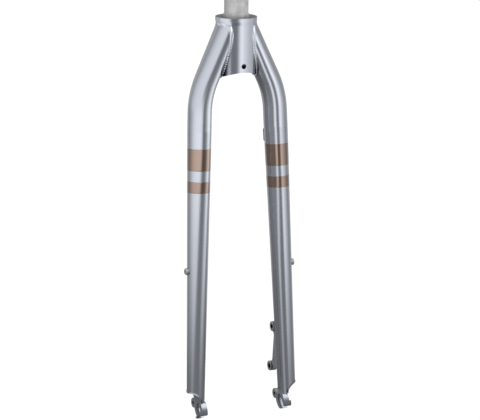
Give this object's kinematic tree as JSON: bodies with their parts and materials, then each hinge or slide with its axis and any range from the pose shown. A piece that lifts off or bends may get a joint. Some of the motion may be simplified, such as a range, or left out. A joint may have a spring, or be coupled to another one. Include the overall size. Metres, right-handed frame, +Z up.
{
  "type": "rigid bicycle fork",
  "caption": "Rigid fork with an unthreaded steerer, a welded crown, straight tapered blades, open dropouts and a disc brake bracket.",
  "frame": {"origin": "centre of the crown race shelf, on the steerer's axis", "axes": "+Z up along the steerer, -Y forward in the direction of travel, +X to the rider's left, the brake side"},
  "size_m": [0.1412, 0.0674, 0.6952],
  "materials": {
    "silver_paint": "metallic gloss",
    "bronze_paint": "metallic gloss",
    "bare_alloy": "raw drawn",
    "machined_alloy": "machined and part painted"
  },
  "bodies": {
    "root": {"steerer_tube": "bare_alloy", "crown": "silver_paint", "shoulder_left": "silver_paint", "shoulder_right": "silver_paint", "blade_left": "silver_paint", "blade_right": "silver_paint", "dropout_left": "machined_alloy", "dropout_right": "machined_alloy", "rack_boss_left": "bare_alloy", "rack_boss_right": "bare_alloy", "band_wide_left": "bronze_paint", "band_wide_right": "bronze_paint", "band_narrow_left": "bronze_paint", "band_narrow_right": "bronze_paint", "crown_weld_left": "silver_paint", "crown_weld_right": "silver_paint", "tip_weld_left": "silver_paint", "tip_weld_right": "silver_paint", "disc_bracket": "silver_paint", "bracket_weld": "silver_paint", "hose_guide": "silver_paint", "guide_weld": "silver_paint"}
  },
  "joints": []
}
